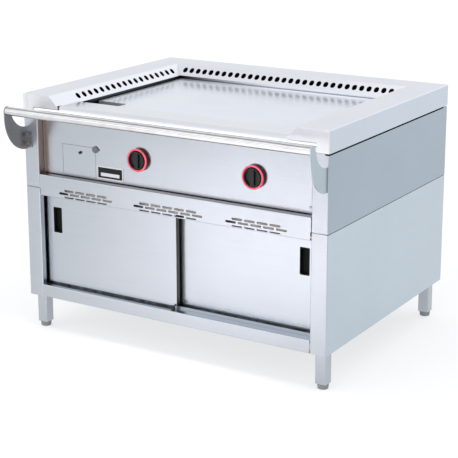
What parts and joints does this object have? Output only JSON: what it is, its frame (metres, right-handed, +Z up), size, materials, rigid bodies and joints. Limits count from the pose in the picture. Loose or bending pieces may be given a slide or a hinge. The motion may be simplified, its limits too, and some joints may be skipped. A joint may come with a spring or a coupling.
{
  "type": "gas griddle grill on a sliding-door cabinet",
  "caption": "Free-standing stainless gas flat-top grill with a raised slotted rim, front handrail, turning knobs, grease drawer and a cabinet with sliding doors.",
  "frame": {"origin": "on the floor, under the centre of the whole footprint including the handrail", "axes": "+X to the right seen from the front, +Y from the front to the back, +Z up"},
  "size_m": [1.202, 1.033, 0.86],
  "materials": {
    "satin_steel": "fine satin-polished stainless sheet, grain along the sheet",
    "bright_steel": "bright polished stainless rim and deck",
    "plate_steel": "ground and polished thick cooking plate",
    "chrome_tube": "polished stainless tube",
    "dark_steel": "plain heat-stained steel inside the fire box",
    "cast_burner": "aluminised steel burner, dull grey",
    "brass_fitting": "machined brass",
    "gas_pipe": "plain grey steel pipe",
    "black_plastic": "satin black moulded plastic",
    "red_ring": "glossy red ring",
    "grey_cap": "grey moulded button",
    "dark_foot": "grey moulded foot",
    "black_rubber": "black rubber",
    "nylon": "dark nylon",
    "plate_trim": "blank anodised plate with a raised border"
  },
  "bodies": {
    "cabinet": {"left_lower_side": "satin_steel", "right_lower_side": "satin_steel", "left_upper_side": "satin_steel", "right_upper_side": "satin_steel", "lower_back": "satin_steel", "upper_back": "satin_steel", "cabinet_floor": "satin_steel", "front_beam": "satin_steel", "lower_rails": "satin_steel", "upper_track": "satin_steel", "louvre_panel": "satin_steel", "control_panel": "satin_steel", "base_tray": "satin_steel", "top_surround": "bright_steel", "front_deck": "bright_steel", "griddle_plate": "plate_steel", "drain_chute": "dark_steel", "firebox": "dark_steel", "heat_shield": "dark_steel", "burner_supports": "dark_steel", "left_burner": "cast_burner", "right_burner": "cast_burner", "pilot_burners": "brass_fitting", "injectors": "brass_fitting", "supply_tubes": "gas_pipe", "gas_manifold": "gas_pipe", "gas_inlet_fitting": "brass_fitting", "left_gas_valve": "brass_fitting", "right_gas_valve": "brass_fitting", "knob_bezels": "black_plastic", "knob_rings": "red_ring", "handrail": "chrome_tube", "left_rail_bracket": "satin_steel", "right_rail_bracket": "satin_steel", "bracket_bolts": "dark_steel", "panel_screws": "satin_steel", "name_plate": "plate_trim", "drawer_runners": "satin_steel", "centre_guide": "black_rubber", "legs": "satin_steel"},
    "left_door": {"left_door": "satin_steel", "left_door_handle": "black_plastic", "left_door_shoes": "nylon"},
    "right_door": {"right_door": "satin_steel", "right_door_handle": "black_plastic", "right_door_shoes": "nylon"},
    "drawer": {"drawer_front": "satin_steel", "drawer_tray": "satin_steel", "drawer_pull": "black_plastic"},
    "turn_button": {"turn_button": "grey_cap"},
    "left_plug": {"left_valve_plug": "brass_fitting"},
    "left_knob": {"left_knob": "black_plastic", "left_valve_stem": "dark_steel"},
    "right_plug": {"right_valve_plug": "brass_fitting"},
    "right_knob": {"right_knob": "black_plastic", "right_valve_stem": "dark_steel"},
    "front_left_foot": {"front_left_foot": "dark_foot"},
    "front_right_foot": {"front_right_foot": "dark_foot"},
    "back_left_foot": {"back_left_foot": "dark_foot"},
    "back_right_foot": {"back_right_foot": "dark_foot"}
  },
  "joints": [
    {"name": "left_door_slide", "type": "slide", "parent": "cabinet", "child": "left_door", "axis": [1, 0, 0], "range_m": [0, 0.5]},
    {"name": "right_door_slide", "type": "slide", "parent": "cabinet", "child": "right_door", "axis": [-1, 0, 0], "range_m": [0, 0.5]},
    {"name": "drawer_slide", "type": "slide", "parent": "cabinet", "child": "drawer", "axis": [0, -1, 0], "range_m": [0, 0.15]},
    {"name": "turn_button_turn", "type": "hinge", "parent": "cabinet", "child": "turn_button", "pos_m": [-0.314, -0.3775, 0.686], "axis": [0, -1, 0], "range_deg": [0, 180]},
    {"name": "left_knob_turn", "type": "hinge", "parent": "cabinet", "child": "left_plug", "pos_m": [-0.1325, -0.3845, 0.673], "axis": [0, -1, 0], "range_deg": [-180, 0]},
    {"name": "left_knob_push", "type": "slide", "parent": "left_plug", "child": "left_knob", "axis": [0, 1, 0], "range_m": [0, 0.004], "stiffness_N_per_m": 1500, "springref_m": -0.003},
    {"name": "right_knob_turn", "type": "hinge", "parent": "cabinet", "child": "right_plug", "pos_m": [0.3175, -0.3845, 0.673], "axis": [0, -1, 0], "range_deg": [-180, 0]},
    {"name": "right_knob_push", "type": "slide", "parent": "right_plug", "child": "right_knob", "axis": [0, 1, 0], "range_m": [0, 0.004], "stiffness_N_per_m": 1500, "springref_m": -0.003},
    {"name": "front_left_foot_screw", "type": "slide", "parent": "cabinet", "child": "front_left_foot", "axis": [0, 0, -1], "range_m": [0, 0.02]},
    {"name": "front_right_foot_screw", "type": "slide", "parent": "cabinet", "child": "front_right_foot", "axis": [0, 0, -1], "range_m": [0, 0.02]},
    {"name": "back_left_foot_screw", "type": "slide", "parent": "cabinet", "child": "back_left_foot", "axis": [0, 0, -1], "range_m": [0, 0.02]},
    {"name": "back_right_foot_screw", "type": "slide", "parent": "cabinet", "child": "back_right_foot", "axis": [0, 0, -1], "range_m": [0, 0.02]}
  ]
}
